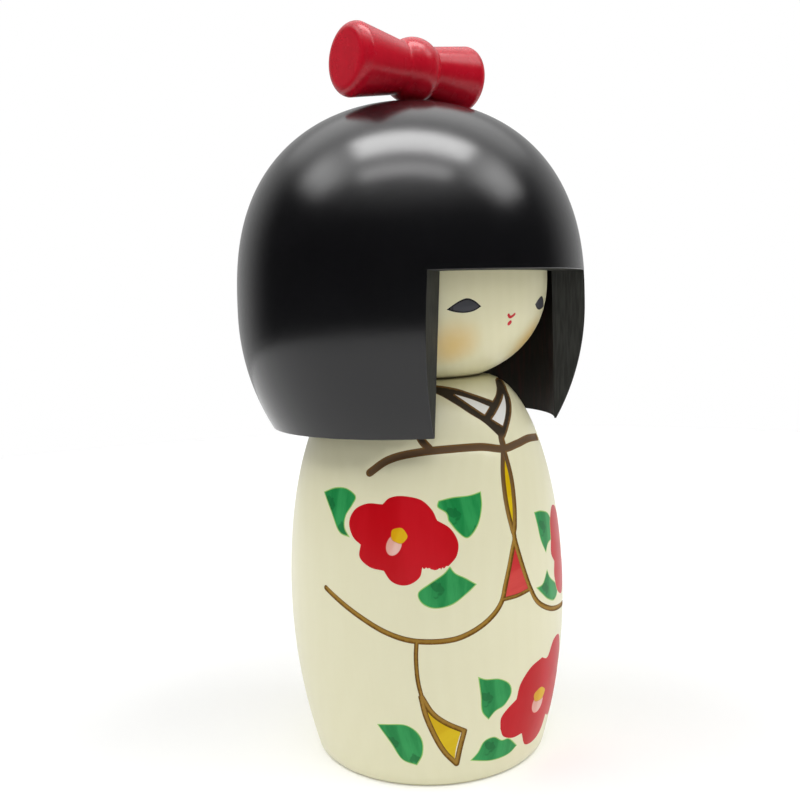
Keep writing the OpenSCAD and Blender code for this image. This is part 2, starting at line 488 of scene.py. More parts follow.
def grained(tree, rings, fibre, pale, dark, ring_scale=160.0):
    """Colour of wood, pale to dark by the shares that its rings and fibre take."""
    grain = wire(tree, "ShaderNodeGroup", {"Ring Scale": ring_scale}, node_tree=wood_grain).outputs
    share = number(tree, "MULTIPLY", grain["Rings"], rings)
    share = number(tree, "MULTIPLY_ADD", grain["Fibre"], fibre, share)
    return blend(tree, share, pale, dark)


# Slight unevenness of brushed lacquer: dull spots and a soft waviness.
lacquer_film, put_in, put_out = new_group(
    "lacquer film", {"Roughness": 0.3, "Unevenness": 0.06}, {"Roughness": 0.0, "Height": 0.0})
place = on_piece(lacquer_film)
off = number(lacquer_film, "SUBTRACT", noise(lacquer_film, place, 260.0, 4.0)["Fac"], 0.5)
dull = number(lacquer_film, "MULTIPLY_ADD", off, put_in["Unevenness"], put_in["Roughness"])
lacquer_film.links.new(dull, put_out["Roughness"])
lacquer_film.links.new(noise(lacquer_film, place, 420.0, 2.0)["Fac"], put_out["Height"])

# Strokes of a soft brush: long streaks along it and thin, broken bristle lines.
brush_strokes, put_in, put_out = new_group(
    "brush strokes", {"Streak Scale": 14.0}, {"Streaks": 0.0, "Pools": 0.0})
map_ = wire(brush_strokes, "ShaderNodeUVMap", uv_map="brush").outputs[0]
drawn = wire(brush_strokes, "ShaderNodeMapping", {"Vector": map_, "Scale": (0.16, 1, 1)}).outputs[0]
streaks = noise(brush_strokes, drawn, put_in[0], 5.0, 0.62)["Fac"]
brush_strokes.links.new(streaks, put_out["Streaks"])
brush_strokes.links.new(noise(brush_strokes, map_, 22.0, 3.0)["Fac"], put_out["Pools"])


def bumped(tree, shader, height, strength, depth):
    """Shader's normal, made uneven by a height of this depth."""
    bump = wire(tree, "ShaderNodeBump", {"Height": height, "Strength": strength, "Distance": depth})
    tree.links.new(bump.outputs[0], shader.inputs["Normal"])


def lacquered(name, roughness, unevenness=0.06, coat=0.35, ripple=0.02, specular=0.5):
    """Material under clear lacquer. Returns it, its tree and its shader."""
    material = bpy.data.materials.new(name)
    material.use_nodes = True
    tree = material.node_tree
    shader = tree.nodes["Principled BSDF"]
    film = wire(tree, "ShaderNodeGroup", {"Roughness": roughness, "Unevenness": unevenness},
                node_tree=lacquer_film)
    tree.links.new(film.outputs["Roughness"], shader.inputs["Roughness"])
    bumped(tree, shader, film.outputs["Height"], ripple, 0.0004)
    shader.inputs["Coat Weight"].default_value = coat
    shader.inputs["Coat Roughness"].default_value = 0.22
    shader.inputs["Specular IOR Level"].default_value = specular
    return material, tree, shader


def painted(name, thin, full, rim_colour, rim_width, scale=14.0, pool_colour=None):
    """Hand-laid paint: thin and full strokes, darker pools, and its own rim."""
    material, tree, shader = lacquered(name, 0.34, 0.10, 0.0, specular=0.18)
    strokes = wire(tree, "ShaderNodeGroup", {"Streak Scale": scale}, node_tree=brush_strokes).outputs
    colour = blend(tree, ramp(tree, strokes["Streaks"], 0.34, 0.66), thin, full)
    if pool_colour:
        gathered = ramp(tree, strokes["Pools"], 0.58, 0.62, 0.0, 0.6)
        colour = blend(tree, gathered, colour, pool_colour)
    rim = wire(tree, "ShaderNodeAttribute", attribute_name="rim").outputs["Fac"]
    wander = number(tree, "MULTIPLY_ADD", strokes["Pools"], rim_width, rim_width / 2)
    solid = number(tree, "MULTIPLY", wander, 0.5)
    edge = wire(tree, "ShaderNodeMapRange", {"Value": rim, "From Min": solid, "From Max": wander,
                                             "To Min": 1.0, "To Max": 0.0}).outputs[0]
    colour = blend(tree, edge, colour, rim_colour)
    tree.links.new(colour, shader.inputs["Base Color"])
    return material


ivory, tree, shader = lacquered("ivory lacquer", 0.38, coat=0.22, specular=0.4)
colour = grained(tree, 0.14, 0.4, rgb(0.79, 0.76, 0.535), rgb(0.745, 0.71, 0.475))
tree.links.new(colour, shader.inputs["Base Color"])

# Stain is near black at the collar and thins to a golden brown lower down.
stain, tree, shader = lacquered("stained groove", 0.55, 0.2, 0.0, 0.2, 0.1)
place = on_piece(tree)
height = wire(tree, "ShaderNodeSeparateXYZ", {0: place}).outputs["Z"]
high = ramp(tree, height, 0.046, 0.065)
collar = ramp(tree, height, 0.0676, 0.0692)
speck = noise(tree, place, 1500.0, 3.0)["Fac"]
middle = blend(tree, high, rgb(0.38, 0.215, 0.038), rgb(0.12, 0.072, 0.038))
middle = blend(tree, collar, middle, rgb(0.036, 0.026, 0.016))
side = blend(tree, high, rgb(0.15, 0.068, 0.008), rgb(0.18, 0.09, 0.024))
groove = wire(tree, "ShaderNodeAttribute", attribute_name="groove").outputs["Fac"]
depth = number(tree, "MULTIPLY_ADD", speck, 0.7, groove)
colour = blend(tree, ramp(tree, depth, 0.55, 1.15), side, middle)
tree.links.new(colour, shader.inputs["Base Color"])

leaf_green = painted("leaf green", rgb(0.034, 0.335, 0.094), rgb(0.009, 0.215, 0.052),
                     rgb(0.34, 0.58, 0.14), 0.24, 30.0, pool_colour=rgb(0.004, 0.110, 0.028))
camellia_red = painted("camellia red", rgb(0.56, 0.006, 0.014), rgb(0.49, 0.001, 0.006),
                       rgb(0.56, 0.03, 0.035), 0.05, 9.0)
stamen_yellow = painted("stamen yellow", rgb(0.74, 0.46, 0.012), rgb(0.66, 0.34, 0.001),
                        rgb(0.60, 0.24, 0.004), 0.05)
stamen_pink = painted("stamen pink", rgb(0.80, 0.52, 0.45), rgb(0.72, 0.36, 0.29),
                      rgb(0.62, 0.20, 0.16), 0.07, 20.0)
collar_white = painted("collar white", rgb(0.80, 0.80, 0.77), rgb(0.74, 0.73, 0.69),
                       rgb(0.66, 0.64, 0.58), 0.05)
sash_red = painted("sash red", rgb(0.64, 0.065, 0.055), rgb(0.54, 0.022, 0.025),
                   rgb(0.62, 0.09, 0.03), 0.08)
lining_yellow = painted("lining yellow", rgb(0.70, 0.50, 0.006), rgb(0.62, 0.40, 0.001),
                        rgb(0.54, 0.31, 0.002), 0.07)

# Bare turned wood, under the base and inside the bores.
bare_wood, tree, shader = lacquered("bare wood", 0.62, 0.12, 0.0, 0.15)
colour = grained(tree, 0.6, 0.4, rgb(0.56, 0.40, 0.22), rgb(0.36, 0.22, 0.10), ring_scale=220.0)
tree.links.new(colour, shader.inputs["Base Color"])
for node_name in ("neck_dowel", "bow_peg"):
    cad_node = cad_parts[node_name]
    cad_node.data.materials.clear()
    cad_node.data.materials.append(bare_wood)

quarter_turn = np.linspace(0, math.pi / 2, 240)
lower_arc = ((BODY_R - BASE_R) ** 2 + BODY_WIDEST_Z**2) / (2 * (BODY_R - BASE_R))
rise = np.linspace(BASE_CHAMFER_Z, BODY_WIDEST_Z, 200, endpoint=False)
lower_r = BODY_R - lower_arc + np.sqrt(lower_arc**2 - (rise - BODY_WIDEST_Z) ** 2)
upper_r = NECK_SEAT_R + (BODY_R - NECK_SEAT_R) * np.cos(quarter_turn)
upper_z = BODY_WIDEST_Z + (BODY_TOP - BODY_WIDEST_Z) * np.sin(quarter_turn)
barrel = Turning(list(zip(lower_r, rise)) + list(zip(upper_r, upper_z)))

WIDE_LINE = 1.6
FINE_LINE = 1.1
SKIRT_LINE = 0.85
SASH_LINE = 0.8
body_lines = []
for width, spots in (
    (WIDE_LINE, [(-67, 62.9), (-59.5, 65.2), (-50, 66.4), (-36, 67), (-17, 67), (-4.2, 66.1),
                 (6, 66.5), (18, 66.9), (33, 66.3)]),
    (WIDE_LINE, [(-46, 71), (-44, 69), (-40.5, 67.3)]),
    (WIDE_LINE, [(-1.6, 69.6), (-3.3, 68), (-3.4, 66.1)]),
    (FINE_LINE, [(-42, 78.3), (-60, 78.2), (-100, 78.2), (-140, 78.2), (-172, 78.2)]),
    (FINE_LINE, [(37, 78.3), (60, 78.2), (100, 78.2), (140, 78.2), (172, 78.2)]),
    (FINE_LINE, [(-4.3, 66), (-7.2, 62), (-8.2, 58), (-8, 54.5), (-6.9, 51), (-6.2, 49.2),
                 (-8, 46.8), (-12.1, 41), (-14.6, 37.4), (-19.7, 34.7), (-27.5, 32.5),
                 (-36, 31.4), (-48.8, 31.5), (-59, 32.9), (-70, 35.6), (-86, 39.9)]),
    (FINE_LINE, [(-3.6, 65.6), (-3.1, 60.5), (-4, 55.5), (-5.3, 51.5), (-6.2, 49.2),
                 (-3.2, 43.3), (0.5, 38.5), (5, 35.2), (14, 32.7), (25, 31.4), (38, 30.7),
                 (50, 31.4), (64, 34), (82, 39.2)]),
    (SASH_LINE, [(-13.2, 37.9), (-6.5, 38), (0.2, 38.5)]),
    (SKIRT_LINE, [(-47.9, 31.2), (-48.3, 27.9), (-47.9, 23.5), (-46.4, 19.6)]),
):
    body_lines.append((*gouge(barrel, spots, width), width))

# The lappet's brown border is drawn round its yellow inside.
for spots in ([(-46.7, 20.2), (-43, 16.9), (-37.8, 14.6), (-29.9, 12.4)],
              [(-29.9, 12.4), (-31.6, 8.6), (-32.8, 5.1)],
              [(-32.8, 5.1), (-37.8, 7.9), (-41.6, 11.3), (-45.2, 16), (-46.9, 20.2)]):
    body_lines.append((*gouge(barrel, spots, FINE_LINE), FINE_LINE))

collar_edge = patch(
    barrel,
    [(-45, 78.72), (-34, 78.7), (-21, 78), (-11, 76.8), (1.2, 75.1)],
    [(1.2, 75.1), (7.2, 76.1), (13.6, 77.2), (20, 78.1), (28, 78.6), (41, 78.72)],
    [(41, 78.72), (41, 77.9)],
    [(41, 77.9), (33, 77.4), (24.8, 76.3), (18.9, 74.5), (13.1, 72.7), (5.5, 70.3), (-1, 68)],
    [(-1, 68), (-4.4, 68.4)],
    [(-4.4, 68.4), (-11, 71.3), (-17.8, 73.2), (-24.9, 75.2), (-34.5, 77.2), (-45, 77.9)],
    [(-45, 77.9), (-45, 78.72)],
)
collar_patches = [
    patch(barrel, [(-22.9, 76.9), (-13, 75.7), (-3.6, 74.1)], [(-3.6, 74.1), (-8.9, 72.8)],
          [(-8.9, 72.8), (-13.4, 74.1), (-22.9, 76.9)]),
    patch(barrel, [(15.6, 75.9), (10.1, 73.8), (4.8, 71.9), (0.3, 70.3)],
          [(0.3, 70.3), (-5.3, 71.8)], [(-5.3, 71.8), (4.3, 73.9), (15.6, 75.9)]),
]

LEAF, RED, YELLOW, PINK, WHITE, SASH, LINING, BARE = range(2, 10)
body_fills = [(WHITE, edge, (-5, 70), 30) for edge in collar_patches]
body_fills += [
    (LINING, patch(barrel, [(-4, 65.3), (-7.4, 62), (-8.5, 58), (-8.2, 54.5), (-6.9, 51),
                            (-6.2, 49.7)],
                   [(-6.2, 49.7), (-5.2, 51.5), (-3.7, 55.5), (-2.8, 60.5), (-4, 65.3)]),
     (-6, 57), 90),
    (SASH, patch(barrel, [(-6.2, 48.8), (-9.3, 44.8), (-13.6, 38)], [(-13.6, 38), (0.4, 38.4)],
                 [(0.4, 38.4), (-3.2, 43.3), (-6.2, 48.8)]), (-6, 43), 80),
    (LINING, patch(barrel, [(-46.3, 19.6), (-43, 16.9), (-37.8, 14.6), (-31.2, 12.6)],
                   [(-31.2, 12.6), (-33.2, 8.8), (-33.7, 6.2)],
                   [(-33.7, 6.2), (-37.8, 8.3), (-41.6, 11.6), (-45, 16), (-46.3, 19.6)]),
     (-40, 12), 60),
]
body_fills += [(LEAF, patch(barrel, *runs), start, angle) for start, angle, runs in (
    ((-82, 56), 5, [[(-90.8, 58.4), (-84, 59.6), (-77.5, 59.7), (-72.6, 58.4), (-74, 56.6),
                      (-76.7, 54.6), (-77, 52.4), (-74.2, 50.5)],
                     [(-74.2, 50.5), (-79.8, 51.3), (-84.5, 54.6), (-90.8, 58.4)]]),
    ((-28, 55), -6, [[(-37.9, 57.8), (-32, 58.3), (-25, 58.4), (-19.6, 58.9)],
                     [(-19.6, 58.9), (-19.9, 56), (-22.5, 52.6), (-27, 50.5), (-31, 51.8),
                      (-34.4, 54)], [(-34.4, 54), (-35.1, 55.4), (-38.4, 56.6), (-37.9, 57.8)]]),
    ((-36, 41), 4, [[(-34.6, 45.6), (-32.6, 44.2), (-29, 43.2), (-24.5, 41.7)],
                     [(-24.5, 41.7), (-28.8, 40), (-34.4, 38.2), (-41, 37.7), (-45.6, 38.8),
                      (-46.8, 40.8), (-42.6, 42.5), (-37.3, 44.2), (-34.6, 45.6)]]),
    ((16, 49), 8, [[(7.4, 53), (13, 52.8), (19.5, 51.6), (22.4, 49), (20, 46.6), (15.4, 45.8),
                      (12.8, 44.2)], [(12.8, 44.2), (9.6, 47.2), (8.4, 50.4), (7.4, 53)]]),
    ((14, 37), 0, [[(12.6, 41), (15, 39), (20.5, 37), (22.4, 35), (18, 33.8), (12, 34.9),
                     (7.8, 36.5), (3.8, 38.3)], [(3.8, 38.3), (8.6, 38.6), (12.6, 41)]]),
    ((-56, 10), -8, [[(-65.7, 13.7), (-61, 14), (-54, 14.2), (-49.4, 12.9), (-47, 10.6),
                      (-47.3, 7.6), (-50, 5.1)],
                     [(-50, 5.1), (-56.4, 6.3), (-60.6, 9.8), (-65.7, 13.7)]]),
    ((-17, 18.5), -5, [[(-24.8, 23.5), (-21.4, 22.7), (-15.6, 22.2), (-10.6, 20.6), (-9.3, 18.4),
                         (-12.4, 16.2), (-16.6, 15.4), (-19.6, 13.9)],
                        [(-19.6, 13.9), (-22.8, 16), (-23.6, 19.4), (-24.8, 23.5)]]),
    ((-14, 7), 10, [[(-26.8, 5.4), (-23.6, 7), (-21, 9.3), (-16.3, 9.8), (-12, 8.5), (-8, 8.3),
                     (-2.2, 5.8)], [(-2.2, 5.8), (-7, 4.5), (-16, 4.3), (-26.8, 5.4)]]),
)]
body_fills += [
    (RED, patch(barrel, [(-69.3, 49.4), (-73, 50.8), (-75, 53.4), (-72.6, 55.9), (-67, 57.2),
                         (-60.4, 57.2)],
                [(-60.4, 57.2), (-57.6, 58.4), (-52.4, 58.8), (-45, 58.1), (-40.6, 56.2),
                 (-38.7, 54.2)],
                [(-38.7, 54.2), (-33.8, 52.6), (-31, 50), (-31.8, 47.4), (-34.9, 45.7)],
                [(-34.9, 45.7), (-40, 45.2), (-44.9, 45.6)],
                [(-44.9, 45.6), (-46, 43.7), (-49.6, 42.4), (-53.4, 42.2), (-57, 43),
                 (-59.6, 44.8)],
                [(-59.6, 44.8), (-65.2, 45.3), (-69.6, 47), (-69.3, 49.4)], ragged=(3,)),
     (-53, 51), 0),
    (RED, patch(barrel, [(-13.5, 11.2), (-13.6, 13.6), (-10.5, 15.3), (-6.4, 16.6)],
                [(-6.4, 16.6), (-4.6, 19.8), (1, 22.4), (8.3, 23.3)],
                [(8.3, 23.3), (13, 22.6), (18.5, 25.4), (26, 25.2), (31, 21.2), (30.6, 17)],
                [(30.6, 17), (34.6, 14.6), (33.6, 10), (27, 7.4), (20.6, 8.6)],
                [(20.6, 8.6), (17.5, 5.6), (11, 4.4), (3.6, 5), (-0.4, 8.2)],
                [(-0.4, 8.2), (-6, 8.1), (-11.4, 9.2), (-13.5, 11.2)]), (9, 15), 0),
    (RED, patch(barrel, [(19, 46.6), (20.6, 50), (26, 52.4), (33, 51.6), (37, 49.4)],
                [(37, 49.4), (44, 50.8), (51, 48.6), (53.6, 44.6), (51, 41.6)],
                [(51, 41.6), (52, 37.6), (47, 34.8), (41, 34.8), (37.6, 36.6)],
                [(37.6, 36.6), (31, 33.6), (23, 35), (19.4, 38.6), (20.4, 41.6)],
                [(20.4, 41.6), (17.6, 43.6), (19, 46.6)]), (36, 43), 0),
]

# Each camellia's stamens: a pink column, leaning, and a yellow head over it.
for (az, z), lean, wide in (((-55.6, 49.7), 22, 1.45), ((8.6, 13.4), 8, 2.1), ((37, 42), 20, 1.5)):
    head_at = (az + lean * 0.09, z + 1.8)
    body_fills.append((PINK, oval(barrel, (az, z), 2.1, wide, lean), (az, z), lean))
    body_fills.append((YELLOW, oval(barrel, head_at, 1.45, wide + 0.15, lean, 0.04), (az, z), lean))

body = turned_piece(
    "Body", barrel, body_fills, body_lines,
    [(BASE_CHAMFER_R, 0.0, 0), (20.0, 0.0, BARE), (10.0, 0.0, BARE), (0, 0.0, BARE)],
    [(9.0, BODY_TOP, 0), (DOWEL_R + DOWEL_FIT, BODY_TOP, BARE),
     (DOWEL_R + DOWEL_FIT, SOCKET_BOTTOM_Z, BARE), (0, SOCKET_BOTTOM_Z, BARE)],
    [ivory, stain, leaf_green, camellia_red, stamen_yellow, stamen_pink, collar_white,
     sash_red, lining_yellow, bare_wood],
    hollows=[(collar_edge, collar_patches)])
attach(body, "base")
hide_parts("body")

# ------------------------------------------------------------------ Head
# Egg-shaped head turned from pale wood and lacquered. It sits on the neck
# dowel with a thin running gap, and its face is painted by hand.

HEAD_WIDEST_Z = 99.95
CHIN_HALF = 22.0
CHIN_EASED = 0.25
DOME_HALF = 29.2
HEAD_SQUARE = 2.3
SPIGOT_R = 6.5
SPIGOT_TOP_Z = 131.55
HEAD_BORE_R = 5.05
HEAD_BORE_TOP_Z = 95.7
PEG_BORE_R = 2.05
PEG_BORE_BOTTOM_Z = 121.55

head_low, head_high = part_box("head")
HEAD_R = head_high[0] / MM
HEAD_BOTTOM = head_low[2] / MM


def squared(half_r, half_z, square_r, square_z, z):
    """Radius of a squared ellipse at height z over its widest ring."""
    return half_r * (1 - np.clip(np.abs(z) / half_z, 0, 1) ** square_z) ** (1 / square_r)


chin_z = np.linspace(HEAD_BOTTOM + CHIN_EASED, HEAD_WIDEST_Z, 160, endpoint=False)
# The dome ends at the height where it is as narrow as the spigot.
spigot_foot = squared(DOME_HALF, HEAD_R, HEAD_SQUARE, HEAD_SQUARE, SPIGOT_R)
dome_z = HEAD_WIDEST_Z + spigot_foot * np.sin(quarter_turn)
egg = Turning([(squared(HEAD_R, half, HEAD_SQUARE, HEAD_SQUARE, z - HEAD_WIDEST_Z), z)
               for half, heights in ((CHIN_HALF, chin_z), (DOME_HALF, dome_z)) for z in heights])

# Blush on the cheeks, and a brown line where the chin meets the neck.
BLUSH_AT = (0.0121, -0.0231, 0.0846)
BLUSH_R = 0.0096
CHIN_SEAM_Z = (0.07955, 0.0801)
face_ivory, tree, shader = lacquered("face lacquer", 0.42, coat=0.15, specular=0.4)
colour = grained(tree, 0.2, 0.4, rgb(0.79, 0.75, 0.50), rgb(0.73, 0.69, 0.43))
place = on_piece(tree)
axes = wire(tree, "ShaderNodeSeparateXYZ", {0: place}).outputs
both_cheeks = wire(tree, "ShaderNodeCombineXYZ", {0: number(tree, "ABSOLUTE", axes[0]), 1: axes[1],
                                                  2: axes[2]}).outputs[0]
away = wire(tree, "ShaderNodeVectorMath", {0: both_cheeks, 1: BLUSH_AT}, operation="DISTANCE")
reach = number(tree, "MULTIPLY_ADD", noise(tree, place, 180.0, 3.0)["Fac"], 0.0016,
               away.outputs["Value"])
blush = ramp(tree, reach, 0.0020, BLUSH_R, 0.88, 0.0)
colour = blend(tree, blush, colour, rgb(0.74, 0.45, 0.08))
seam = ramp(tree, axes[2], *CHIN_SEAM_Z, 0.85, 0.0)
colour = blend(tree, seam, colour, rgb(0.16, 0.06, 0.012))
tree.links.new(colour, shader.inputs["Base Color"])

eye_dark = painted("eye grey", rgb(0.062, 0.062, 0.072), rgb(0.045, 0.045, 0.054),
                   rgb(0.002, 0.002, 0.003), 0.36)
lip_red = painted("lip red", rgb(0.60, 0.008, 0.016), rgb(0.52, 0.002, 0.008),
                  rgb(0.60, 0.04, 0.035), 0.04)

EYE_TOP = [(17.2, 93.9), (20.4, 95), (23.8, 95.5), (27.6, 94.9), (32.2, 93.5)]
EYE_LOW = [(32.2, 93.5), (28.6, 93), (24.4, 92.8), (20.4, 93.1), (17.2, 93.9)]
UPPER_LIP = [(-2.1, 92.1), (-1.4, 91.8), (-0.5, 91.65), (0.6, 91.8), (1.7, 92.15)]
LOWER_LIP = [(-0.15, 90.45), (0.05, 90.5), (0.25, 90.6)]
EYES, LIPS, BARE_HEAD = range(1, 4)
face_fills = [(EYES, patch(egg, EYE_TOP, EYE_LOW), (24, 94), 90)]
face_fills.append((EYES, patch(egg, [(-a, z) for a, z in EYE_TOP], [(-a, z) for a, z in EYE_LOW]),
                   (-24, 94), 90))
for width, spots in ((0.6, UPPER_LIP), (0.95, LOWER_LIP)):
    face_fills.append((LIPS, gouge(egg, spots, width)[1], (0, 91), 90))

head = turned_piece(
    "Head", egg, face_fills, [],
    [(12.0, HEAD_BOTTOM, 0), (HEAD_BORE_R, HEAD_BOTTOM, BARE_HEAD),
     (HEAD_BORE_R, HEAD_BORE_TOP_Z, BARE_HEAD), (0, HEAD_BORE_TOP_Z, BARE_HEAD)],
    [(SPIGOT_R, SPIGOT_TOP_Z, BARE_HEAD), (PEG_BORE_R, SPIGOT_TOP_Z, BARE_HEAD),
     (PEG_BORE_R, PEG_BORE_BOTTOM_Z, BARE_HEAD), (0, PEG_BORE_BOTTOM_Z, BARE_HEAD)],
    [face_ivory, eye_dark, lip_red, bare_wood])
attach(head, "head_group")
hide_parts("head")

# ------------------------------------------------------------------ Hair cap
# Bobbed hair, turned hollow from one block, then sawn open in front for the
# face. Black lacquer outside; the sawn faces and the bore are only stained.
# It is pressed over the head's spigot, set a little back from the neck.

CAP_WIDEST_Z = 93.7
CAP_RIM_OUTER_R = 30.4
BORE_R = 30.0
BORE_TOP_Z = 103.95
CEILING_Z = 130.05
FRINGE_Z = 100.6
DOME_SQUARE_R = 2.1
DOME_SQUARE_Z = 2.6
WINDOW_HALF = 17.9
WINDOW_LEAN = math.radians(6.4)
WINDOW_TURN = math.radians(0.6)
WINDOW_SPLAY = math.radians(27.3)
EASED = 0.12
LOW_ROWS = 26
DOME_ROWS = 58
CEILING_ROWS = 34
BACK_COLUMNS = 150
FRINGE_COLUMNS = 44

cap_low, cap_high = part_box("hair_cap")
CAP_R = cap_high[0] / MM
CAP_RIM_Z = cap_low[2] / MM
CROWN_Z = cap_high[2] / MM
SETBACK = cap_high[1] / MM - CAP_R


def cap_outer(z):
    """Outer radius: an arc below the widest ring, a squared dome above it."""
    inset = CAP_R - CAP_RIM_OUTER_R
    drop = CAP_WIDEST_Z - CAP_RIM_Z
    arc = (inset**2 + drop**2) / (2 * inset)
    if z < CAP_WIDEST_Z:
        return CAP_R - arc + math.sqrt(arc**2 - (z - CAP_WIDEST_Z) ** 2)
    return float(squared(CAP_R, CROWN_Z - CAP_WIDEST_Z, DOME_SQUARE_R, DOME_SQUARE_Z,
                         z - CAP_WIDEST_Z))


def cut_angle(z, r):
    """Angle from the front at which the sawn face meets radius r at height z."""
    nx = math.sin(WINDOW_SPLAY) * math.cos(WINDOW_LEAN)
    ny = math.cos(WINDOW_SPLAY)
    nz = math.sin(WINDOW_SPLAY) * math.sin(WINDOW_LEAN)
    y = math.sqrt(BORE_R**2 - WINDOW_HALF**2)
    reach = ny * y - nx * WINDOW_HALF + nz * (z - CAP_RIM_Z)
    return math.acos(reach / (math.hypot(nx, ny) * r)) - math.atan2(nx, ny)


def dome_rows(first_turn, count, foot_z, top_z, foot_r):
    """Heights and radii of the rows of a squared dome, up to its pole."""
    turns = np.linspace(first_turn, math.pi / 2, count)
    heights = [foot_z + (top_z - foot_z) * math.sin(t) ** (2 / DOME_SQUARE_Z) for t in turns]
    return heights, [foot_r * math.cos(t) ** (2 / DOME_SQUARE_R) for t in turns[:-1]] + [0.0]


low_rows = list(np.linspace(CAP_RIM_Z, FRINGE_Z, LOW_ROWS))
first_rise = (FRINGE_Z + EASED - CAP_WIDEST_Z) / (CROWN_Z - CAP_WIDEST_Z)
first_dome = math.asin(first_rise ** (DOME_SQUARE_Z / 2))
high_rows, high_r = dome_rows(first_dome, DOME_ROWS, CAP_WIDEST_Z, CROWN_Z, CAP_R)
ceiling_rows, ceiling_r = dome_rows(0, CEILING_ROWS, BORE_TOP_Z, CEILING_Z, BORE_R)
inner_rows = [FRINGE_Z + EASED, BORE_TOP_Z - 1.5] + ceiling_rows
inner_r = [BORE_R, BORE_R] + ceiling_r

# Columns round the back, in hundredths of the way from one sawn face to the
# other. They stand closer beside the sawn faces.
closer = [0.0, 0.3, 0.8]
round_back = closer + list(np.linspace(1.8, 98.2, BACK_COLUMNS)) + [100 - n for n in reversed(closer)]
last = len(round_back) - 1

cap_points, cap_faces, cap_slots = [], [], []


def cap_point(r, angle, z):
    """Adds a point. Angles are measured from the middle of the face opening."""
    angle += WINDOW_TURN
    cap_points.append((r * math.sin(angle) * MM, (SETBACK - r * math.cos(angle)) * MM, z * MM))
    return len(cap_points) - 1


def cap_face(slot, *corners):
    """Adds a face, leaving out corners that fall together."""
    corners = tuple(dict.fromkeys(corners))
    if len(corners) > 2:
        cap_faces.append(corners)
        cap_slots.append(slot)


def skin(radius_of, ease, uppers, upper_r):
    """Rows of one skin of the cap: open rows beside the face, closed above it."""
    def back_row(r, start, z):
        return [cap_point(r, start + (2 * math.pi - 2 * start) * s / 100, z) for s in round_back]

    rows = []
    for z in low_rows:
        start = cut_angle(z, radius_of(z)) + ease / radius_of(z)
        rows.append(back_row(radius_of(z), start, z))
    for z, r in zip(uppers, upper_r):
        if r == 0:
            rows.append([cap_point(0, 0, z)] * (last + FRINGE_COLUMNS))
            continue
        rows.append(back_row(r, start, z))
        rows[-1] += [cap_point(r, -start + 2 * start * m / FRINGE_COLUMNS, z)
                     for m in range(1, FRINGE_COLUMNS)]
    return rows


outer = skin(cap_outer, EASED, high_rows, high_r)
inner = skin(lambda z: BORE_R, 0.0, inner_rows, inner_r)
HAIR, SAWN, BORE = 0, 1, 2
for rows, slot, outward in ((outer, HAIR, True), (inner, BORE, False)):
    for k, (a, b) in enumerate(zip(rows, rows[1:])):
        span = last if k < LOW_ROWS else len(b)
        for j in range(span):
            n = (j + 1) % len(b)
            quad = (a[j], a[n], b[n], b[j]) if outward else (a[j], b[j], b[n], a[n])
            cap_face(slot, *quad)

# The sawn face on each side of the opening, in strips between the two skins.
edge_of = {}
for side, column in ((1, 0), (-1, last)):
    previous = None
    for k, z in enumerate(low_rows):
        thick = cap_outer(z) - EASED - BORE_R
        radii = [BORE_R + thick * share for share in (1.0, 0.9, 0.5)]
        across = [cap_point(r, side * cut_angle(z, r), z) for r in radii]
        row = [outer[k][column]] + across + [inner[k][column]]
        if previous:
            for i, (a, b, c, d) in enumerate(zip(previous, previous[1:], row[1:], row)):
                quad = (a, b, c, d) if side < 0 else (a, d, c, b)
                cap_face(HAIR if i == 0 else SAWN, *quad)
        previous = row
    edge_of[side] = previous

# Fringe face under the hair above the brow, and the narrow rim below.
fringe_inner = [edge_of[-1][-1]]
fringe_outer = [edge_of[-1][1]]
r = cap_outer(FRINGE_Z) - EASED
wide = cut_angle(FRINGE_Z, r)
narrow = cut_angle(FRINGE_Z, BORE_R)
for m in range(1, FRINGE_COLUMNS):
    turn = -1 + 2 * m / FRINGE_COLUMNS
    fringe_outer.append(cap_point(r, wide * turn, FRINGE_Z))
    fringe_inner.append(cap_point(BORE_R, narrow * turn, FRINGE_Z))
fringe_outer.append(edge_of[1][1])
fringe_inner.append(edge_of[1][-1])
above_outer = outer[LOW_ROWS][last:] + outer[LOW_ROWS][:1]
above_inner = inner[LOW_ROWS][last:] + inner[LOW_ROWS][:1]
for a, b, slot in ((above_outer, fringe_outer, HAIR), (fringe_outer, fringe_inner, SAWN),
                   (fringe_inner, above_inner, BORE)):
    for i in range(FRINGE_COLUMNS):
        if slot != SAWN or 0 < i < FRINGE_COLUMNS - 1:
            cap_face(slot, a[i], a[i + 1], b[i + 1], b[i])
cap_face(SAWN, *edge_of[-1][1:], fringe_inner[1], fringe_outer[1])
cap_face(SAWN, *edge_of[1][1:], fringe_inner[-2], fringe_outer[-2])
cap_face(HAIR, outer[LOW_ROWS - 1][last], outer[LOW_ROWS][last], fringe_outer[0])
cap_face(HAIR, outer[LOW_ROWS - 1][0], outer[LOW_ROWS][0], fringe_outer[-1])
for j in range(last):
    cap_face(SAWN, outer[0][j], inner[0][j], inner[0][j + 1], outer[0][j + 1])
hair_mesh = bpy.data.meshes.new("Hair cap")
hair_mesh.from_pydata(cap_points, [], cap_faces)
hair_mesh.polygons.foreach_set("material_index", cap_slots)
hair_mesh.polygons.foreach_set("use_smooth", [True] * len(cap_faces))
finished(hair_mesh, sharp_degrees=30)

black, tree, shader = lacquered("black lacquer", 0.21, 0.05, 0.0)
cloud = noise(tree, on_piece(tree), 90.0, 3.0)["Fac"]
colour = blend(tree, cloud, rgb(0.003, 0.003, 0.0035), rgb(0.006, 0.006, 0.007))
tree.links.new(colour, shader.inputs["Base Color"])

